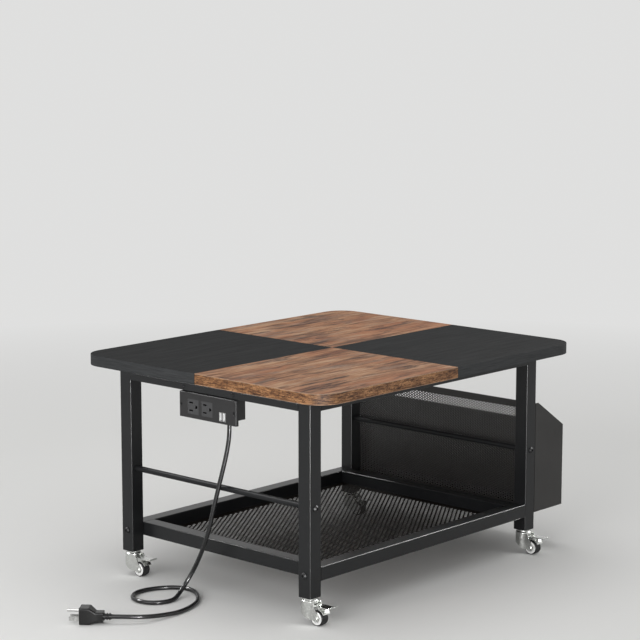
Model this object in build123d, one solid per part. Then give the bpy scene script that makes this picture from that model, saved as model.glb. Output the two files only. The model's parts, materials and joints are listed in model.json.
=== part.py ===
from build123d import *
import math
import os

# Mobile printer stand: a welded and bolted steel frame on four braked swivel casters,
# a tabletop of four boards, a mesh tray below it, a file pocket outside the right legs
# and a power strip under the left top rail.
# Millimetres. X runs left to right, Y front to back, Z up.
# The origin is on the floor, under the centre of the stand's bounding box.

# ------------------------------------------------------------------ frame
FRAME_W = 569.0          # over the legs, left to right
FRAME_D = 423.0          # over the legs, front to back
LEG_H = 301.0            # leg tube, from its open lower end to the boards
TUBE = 25.0              # side of the square leg tube, and width of every rail
TUBE_WALL = 1.5
TUBE_CORNER = 1.6        # outer corner radius of the rolled tube
TOP_RAIL_H = 12.0
SIDE_BAR_D = 9.5         # round stretcher between the front and rear leg of a side
SIDE_BAR_UP = 140.0      # its axis above the lower end of the legs
PLUG_H = 16.0            # threaded plug pressed into the lower end of each leg

# ------------------------------------------------------------------ tray
TRAY_UP = 24.0           # underside of the tray rails above the lower end of the legs
TRAY_RAIL_H = 22.5
TRAY_END_T = 4.0         # welded end plate that takes the tray bolt
MESH_T = 1.2
MESH_BORDER = 10.0       # plain edge of the mesh sheet
MESH_LONG = 46.0         # diamond pitch along X
MESH_SHORT = 24.0        # diamond pitch along Y
MESH_STRAND = 4.0        # width of the strands between the diamonds

# ------------------------------------------------------------------ tabletop
BOARD_T = 18.0
OVER_RIGHT = 81.0        # overhang past the legs; the left edge is flush with them
OVER_FRONT = 24.0
OVER_REAR = 98.0
BOARD_R = 42.0           # rounded corners of the tabletop
BOARD_EDGE = 0.8         # chamfer of the board edges
SEAM = 0.4               # gap between neighbouring boards

# ------------------------------------------------------------------ fasteners
BOLT_D = 6.0             # frame bolts with button heads and a hexagon socket
BOLT_HEAD_D = 10.5
BOLT_HEAD_H = 3.3
BOLT_SOCKET = 4.0        # across the flats
BOLT_GRIP = 14.0         # thread length past the leg
SCREW_D = 4.0            # pan-head machine screws of the pocket and the strip hangers
SCREW_HEAD_D = 7.0
SCREW_HEAD_H = 2.2
WOOD_SCREW_D = 4.0
WOOD_SCREW_HEAD_D = 8.0
WOOD_SCREW_HEAD_H = 1.8
WOOD_SCREW_BITE = 12.0   # length in the board
WOOD_SCREW_INSET = 70.0  # from the ends of the front, rear and cross rail
HOLE_PLAY = 0.2          # radial clearance of a bolt or screw in a tube wall
HEAD_CLEAR = 0.5         # free space beside a bolt head in a corner

# ------------------------------------------------------------------ file pocket
SHEET = 1.0
POCKET_DEPTH = 80.0      # out from the right legs
POCKET_H = 191.0         # inner side
POCKET_OUTER_H = 142.5   # outer side
POCKET_LEDGE = 7.5       # level part of the end panel before its slope
POCKET_HEM = 9.0         # folded top edge of the inner and outer side
POCKET_SCREW_DOWN = 22.0  # upper pocket screw below the inner side's top edge
HOLE_PITCH = 32.0        # perforation of the pocket's inner side
HOLE_SIZE = 13.0
HOLE_BORDER = 34.0       # plain border of the perforation

# ------------------------------------------------------------------ power strip
STRIP_AHEAD = 29.0       # its middle, ahead of the seam between the front and rear boards
FACE_L = 126.5
FACE_H = 41.0
FACE_T = 5.5
FACE_DROP = 2.0          # top edge of the face below the rail
HOUSING_D = 17.5         # behind the face
HOUSING_H = 33.0
HOUSING_WALL = 1.5
HOUSING_INSET = 1.5      # each end of the housing, inside the ends of the face
HOUSING_BOSS = 8.0       # solid block at each end that takes the face screw
HANGER_T = 1.5
HANGER_W = 14.0
HANGER_INSET = 8.0       # middle of a hanger from the end of the face
OUTLET_W = 25.0
OUTLET_H = 24.0
OUTLET_DEPTH = 13.6
OUTLET_RECESS = 0.4
OUTLET_PLAY = 0.3        # socket body above the floor of the housing
OUTLET_REAR = 32.5       # first outlet, back from the middle of the strip
OUTLET_PITCH = 31.0
OUTLET_DROP = 1.8        # outlets below the middle of the face
BLADE_PITCH = 12.7
BLADE_SLOT_L = 8.4
BLADE_SLOT_T = 2.5
BLADE_SHIFT = 5.0        # blade slots back from the middle of an outlet
EARTH_OFFSET = 11.9      # earth hole forward from the blade slots
EARTH_HOLE_D = 5.2
CONTACT_T = 0.8
CONTACT_H = 4.0
CONTACT_INSET = 3.0      # ends of the strips inside the outer sides of the outlets
USB_W = 6.6
USB_H = 14.0
USB_WALL = 0.5
USB_TONGUE_T = 1.8
USB_TONGUE_IN = 1.0      # tongue behind the front of the port
USB_REAR = -29.7         # rear port, from the middle of the strip
USB_PITCH = 7.6
USB_DROP = 9.2           # below the middle of the face
FACE_SCREW_D = 2.8
FACE_SCREW_HEAD_D = 5.0
FACE_SCREW_INSET = 4.4
FACE_SCREW_L = 9.0

# ------------------------------------------------------------------ power cord
CORD_D = 7.0
BUSH_L = 10.0            # tapered strain relief under the housing
BUSH_TOP_D = 11.0
BUSH_TIP_D = 8.4
# The cord's middle line, from the bush over the floor to the plug. X is from the outer
# face of the left legs, Y from the middle of the strip, Z from the floor.
CORD_ROUTE = [
    (14, -34.7, 285.5), (14, -34.7, 268), (11.6, -31.3, 241), (6.8, -26.3, 211),
    (1.6, -20.1, 178), (-3, -13.5, 144), (-6, -6.1, 109), (-8, 7.9, 74), (-6.2, 27, 43),
    (-16.5, 35.1, 21), (-34.1, 33.3, 6.8), (-54.6, 23.5, 3.6), (-76.8, 26.3, 3.6),
    (-93, 41.1, 3.6), (-98, 62.5, 3.6), (-89.6, 84.7, 3.6), (-67, 98.9, 3.6), (-37.6, 94.9, 3.6),
    (-10, 78.6, 3.6), (4.3, 54.4, 3.6), (-1.2, 26.8, 3.6), (-24.8, -2.1, 3.6),
    (-51.1, -19.6, 3.6), (-90, -30.5, 3.6), (-126, -29.5, 6.2), (-158, -25.5, 9.8),
]
PLUG_AT = (-196.5, 11.5)  # rear end of the plug's collar, on the same X and Y
PLUG_HEADING = 128.0     # degrees from +X that the plug points
PLUG_LEAD = 20.0         # straight end of the cord behind the plug
COLLAR_L = 12.5          # ribbed strain relief of the plug
COLLAR_D = 11.0
COLLAR_CORE_D = 8.4
COLLAR_RIBS = 3
PLUG_L = 36.5
PLUG_FACE_W = 25.0
PLUG_FACE_H = 26.5
PLUG_FACE_RISE = 1.95    # middle of the full front above the plug's axis
PLUG_FACE_L = 15.0       # full-size front of the plug
PLUG_NECK_L = 12.0       # narrow rear of the plug
PLUG_REAR_W = 18.0
PLUG_REAR_H = 16.0
PLUG_ON_FLOOR = 0.2      # lowest point of the plug above the floor
PRONG_L = 16.5
PRONG_W = 6.35
PRONG_T = 1.5
EARTH_PIN_L = 20.0
EARTH_PIN_D = 4.8
PRONG_DROP = 2.8         # blades below the plug's axis

# ------------------------------------------------------------------ casters
CASTER_H = 41.0          # floor to the lower end of the legs
WHEEL_D = 24.0
WHEEL_W = 15.0
TYRE_T = 1.3
TYRE_ROUND = 0.8
TRAIL = 20.0             # wheel axle ahead of the swivel axis
AXLE_D = 5.0
AXLE_HEAD_D = 7.4
AXLE_HEAD_H = 1.0
STEM_D = 8.0
STEM_L = 15.0
STEM_FLANGE_D = 24.0
STEM_FLANGE_T = 2.7
KINGPIN_D = 10.0
KINGPIN_HEAD_D = 14.0
KINGPIN_HEAD_T = 1.5
CROWN_D = 27.0
CROWN_T = 5.0
CROWN_ROUND = 1.2
FORK_T = 1.5
FORK_GAP = 0.7           # wheel to the inside of the fork, each side
FORK_NARROWS = 11.0      # where the fork becomes parallel, ahead of the swivel axis
EYE_R = 5.2              # fork round the axle
HUB_CLEAR = 0.3          # hub boss to the inside of the fork, each side
HUB_BOSS = 1.6           # wall of the boss round the axle
HUB_RECESS = 0.3         # sides of the hub inside the sides of the tyre
HUB_RIM = 4.2            # wall of the hub under the tyre
HUB_WEB = 6.0            # web between the rim and the boss
RUN_CLEAR = 0.05         # radial clearance of every running fit
END_PLAY = 0.3           # play along a running fit
PEDAL_PIVOT_Y = 13.0     # brake pivot ahead of the swivel axis
PEDAL_PIVOT_Z = 28.5
PEDAL_PIN_D = 3.0
PEDAL_EAR_R = 3.2
PEDAL_T = 1.2
PEDAL_W = 16.0           # tread plate outside the fork
PEDAL_REACH = 48.5       # tip of the pedal from the swivel axis
PEDAL_Z = 30.6           # underside of the tread plate
PEDAL_LIP = 2.0
PEDAL_TRAVEL = 12.0      # degrees down to the locked wheel
SHOE_CLEAR = 0.3         # shoe to the tyre when locked
SHOE_T = 1.5
SHOE_FROM = 15.0         # degrees above the axle's level, ahead of it
SHOE_TO = 75.0

# ------------------------------------------------------------------ places
FRONT_REACH = max(OVER_FRONT, PEDAL_REACH - TUBE / 2)
X_LEFT = -(FRAME_W + max(OVER_RIGHT, POCKET_DEPTH) - BOLT_HEAD_H) / 2
X_RIGHT = X_LEFT + FRAME_W
Y_FRONT = -(FRAME_D + OVER_REAR - FRONT_REACH) / 2
Y_REAR = Y_FRONT + FRAME_D
X_MID = (X_LEFT + X_RIGHT) / 2
Y_MID = (Y_FRONT + Y_REAR) / 2
Z_LEG = CASTER_H
Z_TOP = Z_LEG + LEG_H
Z_RAIL = Z_TOP - TOP_RAIL_H
Z_BAR = Z_LEG + SIDE_BAR_UP
Z_TRAY = Z_LEG + TRAY_UP
Z_TRAY_BOLT = Z_TRAY + TRAY_RAIL_H / 2
Z_POCKET = Z_TRAY_BOLT - BOLT_HEAD_D / 2 - HEAD_CLEAR - SHEET   # floor below the bolt heads
INNER_W = FRAME_W - 2 * TUBE
INNER_D = FRAME_D - 2 * TUBE

SIDES = {"left": X_LEFT + TUBE / 2, "right": X_RIGHT - TUBE / 2}
ENDS = {"front": Y_FRONT + TUBE / 2, "rear": Y_REAR - TUBE / 2}
CORNERS = {f"{end}_{side}": (SIDES[side], ENDS[end]) for end in ENDS for side in SIDES}

BOARD_W = FRAME_W + OVER_RIGHT
BOARD_D = FRAME_D + OVER_FRONT + OVER_REAR
X_BOARD = X_LEFT
Y_BOARD = Y_FRONT - OVER_FRONT
X_SEAM = X_BOARD + BOARD_W / 2
Y_SEAM = Y_BOARD + BOARD_D / 2

ALONG_X = Rotation(0, 90, 0)      # turns +Z to +X
ALONG_Y = Rotation(-90, 0, 0)     # turns +Z to +Y

nodes = {}


# ------------------------------------------------------------------ shared shapes
def box_between(low, high):
    size = [b - a for a, b in zip(low, high)]
    middle = [(a + b) / 2 for a, b in zip(low, high)]
    return Pos(*middle) * Box(*size)


def box_section(width, height, length):
    """Rolled rectangular tube along +Z, centred on its axis."""
    outer = RectangleRounded(width, height, TUBE_CORNER)
    inner = Rectangle(width - 2 * TUBE_WALL, height - 2 * TUBE_WALL)
    return extrude(outer - inner, length)


def rod(diameter, start, length, turn):
    """Round bar from a start point, along +Z turned by a rotation."""
    return Pos(*start) * turn * extrude(Circle(diameter / 2), length)


def hex_socket(flats, depth):
    return extrude(RegularPolygon(flats / 2, 6, major_radius=False), -depth)


def button_bolt(length):
    """Button-head bolt: the head's seat is at Z 0, the shank points down."""
    r = BOLT_HEAD_D / 2
    outline = Polyline((0, 0), (r, 0), (r, BOLT_HEAD_H * 0.35), (r * 0.55, BOLT_HEAD_H),
                       (0, BOLT_HEAD_H), close=True)
    head = revolve(Plane.XZ * make_face(outline), Axis.Z)
    head -= Pos(0, 0, BOLT_HEAD_H) * hex_socket(BOLT_SOCKET, BOLT_HEAD_H * 0.6)
    return head + extrude(Circle(BOLT_D / 2), -length)


def pan_screw(length):
    """Pan-head screw: the head's seat is at Z 0, the shank points down."""
    head = extrude(Circle(SCREW_HEAD_D / 2), SCREW_HEAD_H, taper=20)
    return head + extrude(Circle(SCREW_D / 2), -length)


# ------------------------------------------------------------------ legs and rails
def leg(name, x, y):
    """Leg tube with the holes for its side bar bolt (along Y) and tray bolt (along X)."""
    tube = Pos(x, y, Z_LEG) * box_section(TUBE, TUBE, LEG_H)
    hole = BOLT_D + 2 * HOLE_PLAY
    tube -= rod(hole, (x, y - TUBE, Z_BAR), 2 * TUBE, ALONG_Y)
    tube -= rod(hole, (x - TUBE, y, Z_TRAY_BOLT), 2 * TUBE, ALONG_X)
    if name.endswith("right"):
        screw_z = Z_POCKET + POCKET_H - POCKET_SCREW_DOWN
        tube -= rod(SCREW_D, (x, y, screw_z), TUBE, ALONG_X)
    return tube


def leg_plug(x, y):
    """Threaded plug that closes the lower end of a leg and takes the caster's stem."""
    side = TUBE - 2 * TUBE_WALL
    plug = Pos(x, y, Z_LEG) * extrude(Rectangle(side, side) - Circle(STEM_D / 2), PLUG_H)
    return plug


def rail_x(x0, x1, y, z, height):
    return Pos(x0, y, z + height / 2) * ALONG_X * box_section(height, TUBE, x1 - x0)


def rail_y(x, y0, y1, z, height):
    return Pos(x, y0, z + height / 2) * ALONG_Y * box_section(TUBE, height, y1 - y0)


def wood_screw_places():
    """Two screws into every board: X along the rail, Y of the rail that holds them."""
    xs = [X_LEFT + TUBE + WOOD_SCREW_INSET, X_RIGHT - TUBE - WOOD_SCREW_INSET]
    ys = [ENDS["front"], Y_SEAM - TUBE / 4, Y_SEAM + TUBE / 4, ENDS["rear"]]
    return [(x, y) for x in xs for y in ys]


def wood_screw(x, y):
    """Wood screw driven up through a rail into a board."""
    head = Pos(x, y, Z_RAIL - WOOD_SCREW_HEAD_H) * extrude(
        Circle(WOOD_SCREW_HEAD_D / 2), WOOD_SCREW_HEAD_H)
    return head + rod(WOOD_SCREW_D, (x, y, Z_RAIL), TOP_RAIL_H + WOOD_SCREW_BITE,
                      Rotation(0, 0, 0))


def frame():
    for name, (x, y) in CORNERS.items():
        nodes[f"leg_{name}"] = leg(name, x, y)
    nodes["leg_plugs"] = [leg_plug(x, y) for x, y in CORNERS.values()]
    inner_left = X_LEFT + TUBE
    inner_right = X_RIGHT - TUBE
    rails = {"front": ENDS["front"], "rear": ENDS["rear"]}
    screw_holes = [rod(WOOD_SCREW_D, (x, y, Z_RAIL), TOP_RAIL_H, Rotation(0, 0, 0))
                   for x, y in wood_screw_places()]
    for end, y in rails.items():
        rail = rail_x(inner_left, inner_right, y, Z_RAIL, TOP_RAIL_H)
        nodes[f"top_rail_{end}"] = rail - screw_holes
    for side, x in SIDES.items():
        rail = rail_y(x, Y_FRONT + TUBE, Y_REAR - TUBE, Z_RAIL, TOP_RAIL_H)
        if side == "left":
            rail -= [rod(SCREW_D + 2 * HOLE_PLAY, (X_LEFT, y, hanger_screw_z()), TUBE, ALONG_X)
                     for y in hanger_places()]
        nodes[f"top_rail_{side}"] = rail
    nodes["cross_rail"] = rail_x(inner_left, inner_right, Y_SEAM, Z_RAIL, TOP_RAIL_H) - screw_holes


def side_bars():
    """Round stretchers, each held by a bolt through the legs at both ends."""
    bolts = []
    for side, x in SIDES.items():
        bar = rod(SIDE_BAR_D, (x, Y_FRONT + TUBE, Z_BAR), INNER_D, ALONG_Y)
        bar -= rod(BOLT_D, (x, Y_FRONT + TUBE, Z_BAR), BOLT_GRIP, ALONG_Y)
        bar -= rod(BOLT_D, (x, Y_REAR - TUBE - BOLT_GRIP, Z_BAR), BOLT_GRIP, ALONG_Y)
        nodes[f"side_bar_{side}"] = bar
        bolt = button_bolt(TUBE + BOLT_GRIP)
        bolts.append(Pos(x, Y_FRONT, Z_BAR) * Rotation(90, 0, 0) * bolt)
        bolts.append(Pos(x, Y_REAR, Z_BAR) * Rotation(-90, 0, 0) * bolt)
    nodes["side_bar_bolts"] = bolts


# ------------------------------------------------------------------ tray
def tray_end_rail(y):
    """Front or rear tray rail with a welded, threaded plate in each end."""
    x0 = X_LEFT + TUBE
    x1 = X_RIGHT - TUBE
    rail = rail_x(x0, x1, y, Z_TRAY, TRAY_RAIL_H)
    plate_w = TUBE - 2 * TUBE_WALL
    plate_h = TRAY_RAIL_H - 2 * TUBE_WALL
    for x in (x0, x1 - TRAY_END_T):
        rail += Pos(x, y, Z_TRAY_BOLT) * ALONG_X * extrude(Rectangle(plate_h, plate_w), TRAY_END_T)
    return rail - rod(BOLT_D, (x0, y, Z_TRAY_BOLT), INNER_W, ALONG_X)


def diamond_mesh(width, depth):
    """Expanded metal: staggered diamonds in a sheet with a plain border."""
    sheet = Rectangle(width, depth)
    half_long = (MESH_LONG - MESH_STRAND * 2) / 2
    half_short = (MESH_SHORT - MESH_STRAND) / 2
    diamond = make_face(Polyline((-half_long, 0), (0, -half_short), (half_long, 0),
                                 (0, half_short), close=True))
    nx = int((width - 2 * MESH_BORDER) // MESH_LONG)
    ny = int((depth - 2 * MESH_BORDER) // MESH_SHORT)
    holes = []
    for stagger in (0, 1):
        columns = nx - stagger
        rows = ny - stagger
        for i in range(columns):
            for j in range(rows):
                x = (i - (columns - 1) / 2) * MESH_LONG
                y = (j - (rows - 1) / 2) * MESH_SHORT
                holes.append(Pos(x, y) * diamond)
    return extrude(sheet - holes, MESH_T)


def tray():
    for end, y in ENDS.items():
        nodes[f"tray_rail_{end}"] = tray_end_rail(y)
    for side, sign in (("left", 1), ("right", -1)):
        x = SIDES[side] + sign * TUBE
        nodes[f"tray_rail_{side}"] = rail_y(x, Y_FRONT + TUBE, Y_REAR - TUBE, Z_TRAY, TRAY_RAIL_H)
    mesh = diamond_mesh(INNER_W - 2 * TUBE, INNER_D)
    nodes["tray_mesh"] = Pos(X_MID, Y_MID, Z_TRAY) * mesh
    bolts = []
    for y in ENDS.values():
        bolt = button_bolt(TUBE + BOLT_GRIP)
        bolts.append(Pos(X_LEFT, y, Z_TRAY_BOLT) * Rotation(0, -90, 0) * bolt)
        long_bolt = button_bolt(SHEET + TUBE + BOLT_GRIP)
        bolts.append(Pos(X_RIGHT + SHEET, y, Z_TRAY_BOLT) * Rotation(0, 90, 0) * long_bolt)
    nodes["tray_bolts"] = bolts


# ------------------------------------------------------------------ tabletop
def board(side, end):
    """A quarter of the tabletop, with the tabletop's rounded corner."""
    x0 = X_BOARD if side == "left" else X_SEAM + SEAM / 2
    x1 = X_SEAM - SEAM / 2 if side == "left" else X_BOARD + BOARD_W
    y0 = Y_BOARD if end == "front" else Y_SEAM + SEAM / 2
    y1 = Y_SEAM - SEAM / 2 if end == "front" else Y_BOARD + BOARD_D
    outline = Pos((x0 + x1) / 2, (y0 + y1) / 2) * Rectangle(x1 - x0, y1 - y0)
    corner_x = x0 if side == "left" else x1
    corner_y = y0 if end == "front" else y1
    corner = outline.vertices().sort_by_distance((corner_x, corner_y, 0))[0]
    outline = fillet(corner, BOARD_R)
    slab = Pos(0, 0, Z_TOP) * extrude(outline, BOARD_T)
    rims = slab.edges().filter_by(lambda e: abs(e.center().Z - Z_TOP - BOARD_T) < 0.01)
    rims = rims.filter_by(lambda e: abs(e.center().X - X_SEAM) > 1 and abs(e.center().Y - Y_SEAM) > 1)
    slab = chamfer(rims, BOARD_EDGE)
    return slab - [rod(WOOD_SCREW_D, (x, y, Z_TOP), WOOD_SCREW_BITE, Rotation(0, 0, 0))
                   for x, y in wood_screw_places()]


def tabletop():
    for end in ENDS:
        for side in SIDES:
            nodes[f"board_{end}_{side}"] = board(side, end)
    nodes["board_screws"] = [wood_screw(x, y) for x, y in wood_screw_places()]


# ------------------------------------------------------------------ file pocket
def perforated_side():
    """Perforated sheet on the right legs, inside the end panels."""
    y0 = Y_FRONT + SHEET
    y1 = Y_REAR - SHEET
    sheet = box_between((X_RIGHT, y0, Z_POCKET), (X_RIGHT + SHEET, y1, Z_POCKET + POCKET_H))
    ny = int((y1 - y0 - 2 * HOLE_BORDER + HOLE_PITCH - HOLE_SIZE) // HOLE_PITCH)
    nz = int((POCKET_H - 2 * HOLE_BORDER + HOLE_PITCH - HOLE_SIZE) // HOLE_PITCH)
    hole = Rotation(45, 0, 0) * Box(4 * SHEET, HOLE_SIZE, HOLE_SIZE)
    mid_z = Z_POCKET + POCKET_H / 2
    holes = [Pos(X_RIGHT + SHEET / 2, Y_MID + (i - (ny - 1) / 2) * HOLE_PITCH,
                 mid_z + (j - (nz - 1) / 2) * HOLE_PITCH) * hole
             for i in range(ny) for j in range(nz)]
    return sheet - holes


def pocket_end(y):
    """End panel with a level ledge at the legs and a slope down to the outer side."""
    top = Z_POCKET + POCKET_H
    x_out = X_RIGHT + POCKET_DEPTH
    outline = Polyline((X_RIGHT, Z_POCKET), (x_out, Z_POCKET), (x_out, Z_POCKET + POCKET_OUTER_H),
                       (X_RIGHT + POCKET_LEDGE, top), (X_RIGHT, top), close=True)
    return Pos(0, y, 0) * extrude(Plane.XZ * make_face(outline), -SHEET)


def pocket():
    x_out = X_RIGHT + POCKET_DEPTH
    y0 = Y_FRONT + SHEET
    y1 = Y_REAR - SHEET
    top = Z_POCKET + POCKET_H
    outer_top = Z_POCKET + POCKET_OUTER_H
    screw_z = top - POCKET_SCREW_DOWN
    inner = perforated_side()
    inner += box_between((X_RIGHT + SHEET, y0, top - POCKET_HEM), (X_RIGHT + 2 * SHEET, y1, top))
    for y in ENDS.values():
        inner -= rod(BOLT_D + 2 * HOLE_PLAY, (X_RIGHT, y, Z_TRAY_BOLT), SHEET, ALONG_X)
        inner -= rod(SCREW_D + 2 * HOLE_PLAY, (X_RIGHT, y, screw_z), SHEET, ALONG_X)
    nodes["pocket_inner_side"] = inner
    outer = box_between((x_out - SHEET, y0, Z_POCKET), (x_out, y1, outer_top))
    outer += box_between((x_out - 2 * SHEET, y0, outer_top - POCKET_HEM), (x_out - SHEET, y1, outer_top))
    outer += box_between((X_RIGHT + SHEET, y0, Z_POCKET), (x_out - SHEET, y1, Z_POCKET + SHEET))
    nodes["pocket_outer_side"] = outer
    nodes["pocket_ends"] = [pocket_end(Y_FRONT), pocket_end(Y_REAR - SHEET)]


def machine_screws():
    """Pan-head screws of the pocket's upper corners and of the strip hangers."""
    screw_z = Z_POCKET + POCKET_H - POCKET_SCREW_DOWN
    screws = [Pos(X_RIGHT + SHEET, y, screw_z) * Rotation(0, 90, 0) * pan_screw(SHEET + 3 * TUBE_WALL)
              for y in ENDS.values()]
    for y in hanger_places():
        screw = pan_screw(TUBE + HANGER_T)
        screws.append(Pos(X_LEFT, y, hanger_screw_z()) * Rotation(0, -90, 0) * screw)
    nodes["machine_screws"] = screws


# ------------------------------------------------------------------ power strip
Y_STRIP = Y_SEAM - STRIP_AHEAD
Z_FACE_TOP = Z_RAIL - FACE_DROP
Z_FACE_MID = Z_FACE_TOP - FACE_H / 2
Z_HOUSING_TOP = Z_RAIL - HANGER_T
Z_HOUSING = Z_HOUSING_TOP - HOUSING_H
Z_OUTLET = Z_FACE_MID - OUTLET_DROP
Z_USB = Z_FACE_MID - USB_DROP
HOUSING_L = FACE_L - 2 * HOUSING_INSET
OUTLET_Y = [Y_STRIP + OUTLET_REAR, Y_STRIP + OUTLET_REAR - OUTLET_PITCH]
USB_Y = [Y_STRIP + USB_REAR, Y_STRIP + USB_REAR - USB_PITCH]
FACE_SCREW_Y = [Y_STRIP + s * (FACE_L / 2 - FACE_SCREW_INSET) for s in (1, -1)]


def hanger_places():
    return [Y_STRIP + s * (FACE_L / 2 - HANGER_INSET) for s in (1, -1)]


def hanger_screw_z():
    return Z_RAIL + TOP_RAIL_H / 2


def hanger(y):
    """Angle strap: up the inner face of the rail, and under the rail over the housing."""
    x_in = X_LEFT + TUBE
    x_face = X_LEFT + FACE_T
    y0 = y - HANGER_W / 2
    y1 = y + HANGER_W / 2
    strap = box_between((x_in, y0, Z_HOUSING_TOP), (x_in + HANGER_T, y1, Z_TOP - HANGER_T))
    strap += box_between((x_face, y0, Z_HOUSING_TOP), (x_in, y1, Z_RAIL))
    return strap - rod(SCREW_D, (x_in, y, hanger_screw_z()), HANGER_T, ALONG_X)


def front_shape(outline, x, y, z, depth):
    """A shape drawn on the strip's face (Y, Z), cut or raised along +X."""
    return Pos(x, y, z) * extrude(Plane.YZ * outline, depth)


def strip_face():
    """Face plate with a chamfered rim and openings for the outlets, ports and screws."""
    plate = front_shape(RectangleRounded(FACE_L, FACE_H, 1.0), X_LEFT, Y_STRIP, Z_FACE_MID, FACE_T)
    plate = chamfer(plate.edges().group_by(Axis.X)[0], 0.7)
    for y in OUTLET_Y:
        plate -= front_shape(Rectangle(OUTLET_W, OUTLET_H), X_LEFT, y, Z_OUTLET, FACE_T)
    for y in USB_Y:
        plate -= front_shape(Rectangle(USB_W, USB_H), X_LEFT, y, Z_USB, FACE_T)
    for y in FACE_SCREW_Y:
        plate -= front_shape(Circle(FACE_SCREW_D / 2), X_LEFT, y, Z_FACE_MID, FACE_T)
        plate -= front_shape(Circle(FACE_SCREW_HEAD_D / 2), X_LEFT, y, Z_FACE_MID, FACE_T / 2)
    return plate


def housing():
    """Tub behind the face, with a screw block at each end and the cord's hole below."""
    x0 = X_LEFT + FACE_T
    x1 = x0 + HOUSING_D
    tub = box_between((x0, Y_STRIP - HOUSING_L / 2, Z_HOUSING),
                      (x1, Y_STRIP + HOUSING_L / 2, Z_HOUSING_TOP))
    tub = fillet(tub.edges().group_by(Axis.X)[-1], HOUSING_WALL)
    half = HOUSING_L / 2 - HOUSING_BOSS
    tub -= box_between((x0, Y_STRIP - half, Z_HOUSING + HOUSING_WALL),
                       (x1 - HOUSING_WALL, Y_STRIP + half, Z_HOUSING_TOP - HOUSING_WALL))
    for y in FACE_SCREW_Y:
        tub -= front_shape(Circle(FACE_SCREW_D / 2), x0, y, Z_FACE_MID, FACE_SCREW_L - FACE_T / 2)
    x_cord, y_cord = cord_exit()
    return tub - Pos(x_cord, y_cord, Z_HOUSING) * extrude(Circle(CORD_D / 2), HOUSING_WALL)


def outlet(y):
    """Three-pole socket insert: two blade slots and an earth hole beside them."""
    x = X_LEFT + OUTLET_RECESS
    body_h = 2 * (Z_OUTLET - Z_HOUSING - HOUSING_WALL - OUTLET_PLAY)
    block = front_shape(Rectangle(OUTLET_W, OUTLET_H), x, y, Z_OUTLET, FACE_T - OUTLET_RECESS)
    block += front_shape(Rectangle(OUTLET_W, body_h), x, y, Z_OUTLET, OUTLET_DEPTH)
    for s in (1, -1):
        slot = Rectangle(BLADE_SLOT_L, BLADE_SLOT_T)
        block -= front_shape(slot, x, y + BLADE_SHIFT, Z_OUTLET + s * BLADE_PITCH / 2, OUTLET_DEPTH)
    earth_y = y + BLADE_SHIFT - EARTH_OFFSET
    earth = Circle(EARTH_HOLE_D / 2) + Pos(EARTH_HOLE_D / 4, 0) * Rectangle(EARTH_HOLE_D / 2, EARTH_HOLE_D)
    return block - front_shape(earth, x, earth_y, Z_OUTLET, OUTLET_DEPTH)


def contact_strips():
    """Line, neutral and earth strips along the backs of both outlets."""
    x = X_LEFT + OUTLET_RECESS + OUTLET_DEPTH
    length = OUTLET_PITCH + OUTLET_W - 2 * CONTACT_INSET
    y = sum(OUTLET_Y) / 2
    rows = [Z_OUTLET - BLADE_PITCH / 2, Z_OUTLET, Z_OUTLET + BLADE_PITCH / 2]
    return [front_shape(Rectangle(length, CONTACT_H), x, y, z, CONTACT_T) for z in rows]


def usb_port(y):
    """Upright USB-A shell in the face, with its tongue on the back wall."""
    shell = front_shape(Rectangle(USB_W, USB_H), X_LEFT, y, Z_USB, FACE_T)
    shell -= front_shape(Rectangle(USB_W - 2 * USB_WALL, USB_H - 2 * USB_WALL), X_LEFT, y, Z_USB,
                         FACE_T - USB_WALL)
    tongue_h = USB_H - 6 * USB_WALL
    tongue_y = y + USB_W / 2 - USB_WALL - USB_TONGUE_T
    tongue = front_shape(Rectangle(USB_TONGUE_T, tongue_h), X_LEFT + USB_TONGUE_IN, tongue_y,
                         Z_USB, FACE_T - USB_TONGUE_IN - USB_WALL)
    return shell + tongue


def face_screw(y):
    """Countersunk face screw with a cross slot left to the finish."""
    head_x = X_LEFT + FACE_T / 4
    head = front_shape(Circle(FACE_SCREW_HEAD_D / 2), head_x, y, Z_FACE_MID, FACE_T / 4)
    return head + front_shape(Circle(FACE_SCREW_D / 2), head_x, y, Z_FACE_MID,
                              FACE_SCREW_L + FACE_T / 4)


def power_strip():
    nodes["strip_hangers"] = [hanger(y) for y in hanger_places()]
    nodes["strip_face"] = strip_face()
    nodes["strip_housing"] = housing()
    nodes["outlet_inserts"] = [outlet(y) for y in OUTLET_Y]
    nodes["contact_strips"] = contact_strips()
    nodes["usb_ports"] = [usb_port(y) for y in USB_Y]
    nodes["face_screws"] = [face_screw(y) for y in FACE_SCREW_Y]


# ------------------------------------------------------------------ power cord
def cord_exit():
    x, y, _ = CORD_ROUTE[0]
    return X_LEFT + x, Y_STRIP + y


def plug_place():
    """Placement of the plug: its +X is where the prongs point, at the cord's end."""
    axis_z = PLUG_ON_FLOOR + PLUG_FACE_H / 2 - PLUG_FACE_RISE
    corner = Pos(X_LEFT + PLUG_AT[0], Y_STRIP + PLUG_AT[1], axis_z)
    return corner * Rotation(0, 0, PLUG_HEADING)


def cord_points():
    """The route, which starts at the tip of the bush and ends along the plug's axis."""
    points = [Vector(X_LEFT + x, Y_STRIP + y, z) for x, y, z in CORD_ROUTE]
    points[0].Z = Z_HOUSING - BUSH_L
    ends = [plug_place() * Pos(-lead, 0, 0) for lead in (PLUG_LEAD, 0)]
    return points + [end.position for end in ends]


def corner_radii(points):
    """As large an arc at every point of the route as its two runs allow."""
    radii = []
    for before, here, after in zip(points, points[1:], points[2:]):
        run_in = here - before
        run_out = after - here
        turn = math.radians(run_in.get_angle(run_out))
        radii.append(0.45 * min(run_in.length, run_out.length) / math.tan(turn / 2))
    return radii


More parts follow.
